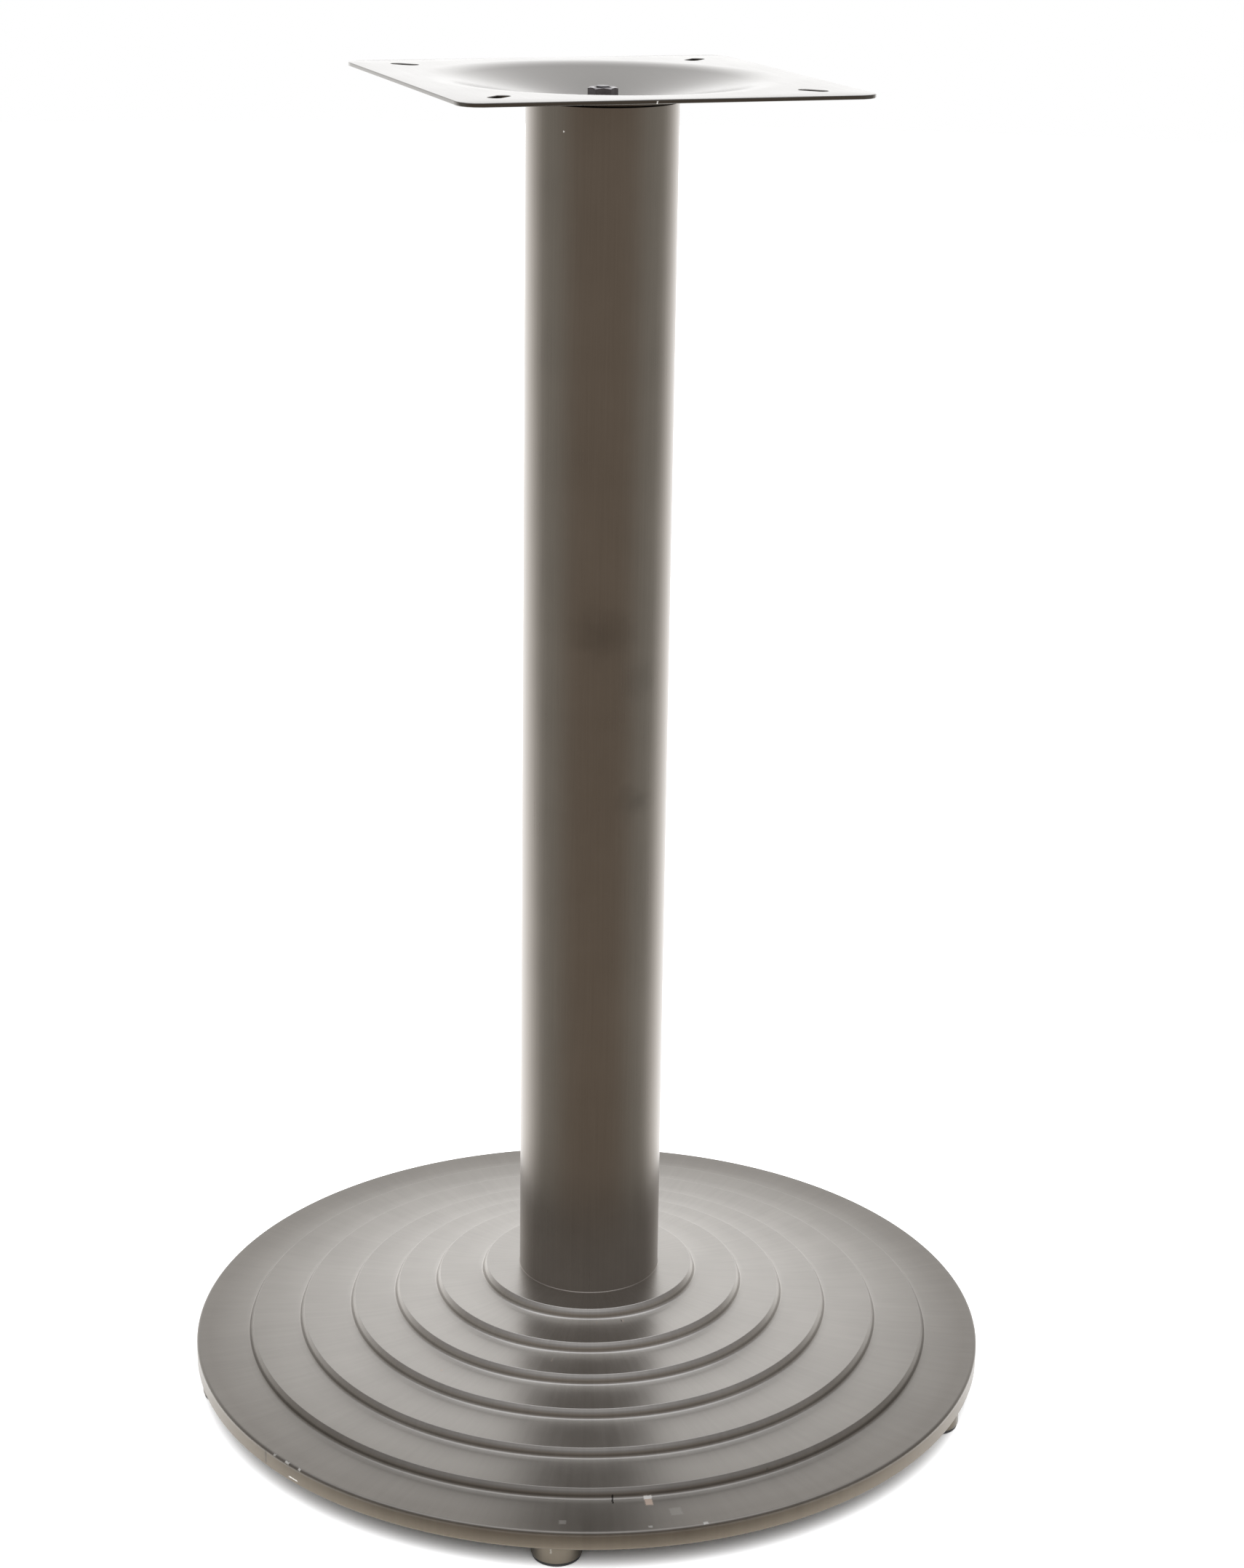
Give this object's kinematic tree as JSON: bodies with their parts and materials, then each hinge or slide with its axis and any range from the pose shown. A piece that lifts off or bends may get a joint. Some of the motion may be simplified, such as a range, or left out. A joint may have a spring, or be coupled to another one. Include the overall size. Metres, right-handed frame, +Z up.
{
  "type": "table base",
  "caption": "Pedestal table base: round stepped cast foot disc, plain tube column and square pressed top plate with a dished centre and diagonal slots, clamped by a tie rod.",
  "frame": {"origin": "on the floor, on the column's axis", "axes": "+Z up along the column; +X and +Y along the plate's diagonals, through its slots"},
  "size_m": [0.43, 0.43, 0.7],
  "materials": {
    "lacquered_casting": "satin lacquer, warm dark grey",
    "lacquered_tube": "satin lacquer, warm dark grey",
    "lacquered_sheet": "satin lacquer, warm dark grey",
    "plated_steel": "zinc plated",
    "glide_plastic": "matt, black"
  },
  "bodies": {
    "root": {"foot_disc": "lacquered_casting", "glides": "glide_plastic", "column_tube": "lacquered_tube", "top_plate": "lacquered_sheet", "tie_rod": "plated_steel", "nuts": "plated_steel", "washers": "plated_steel"}
  },
  "joints": []
}
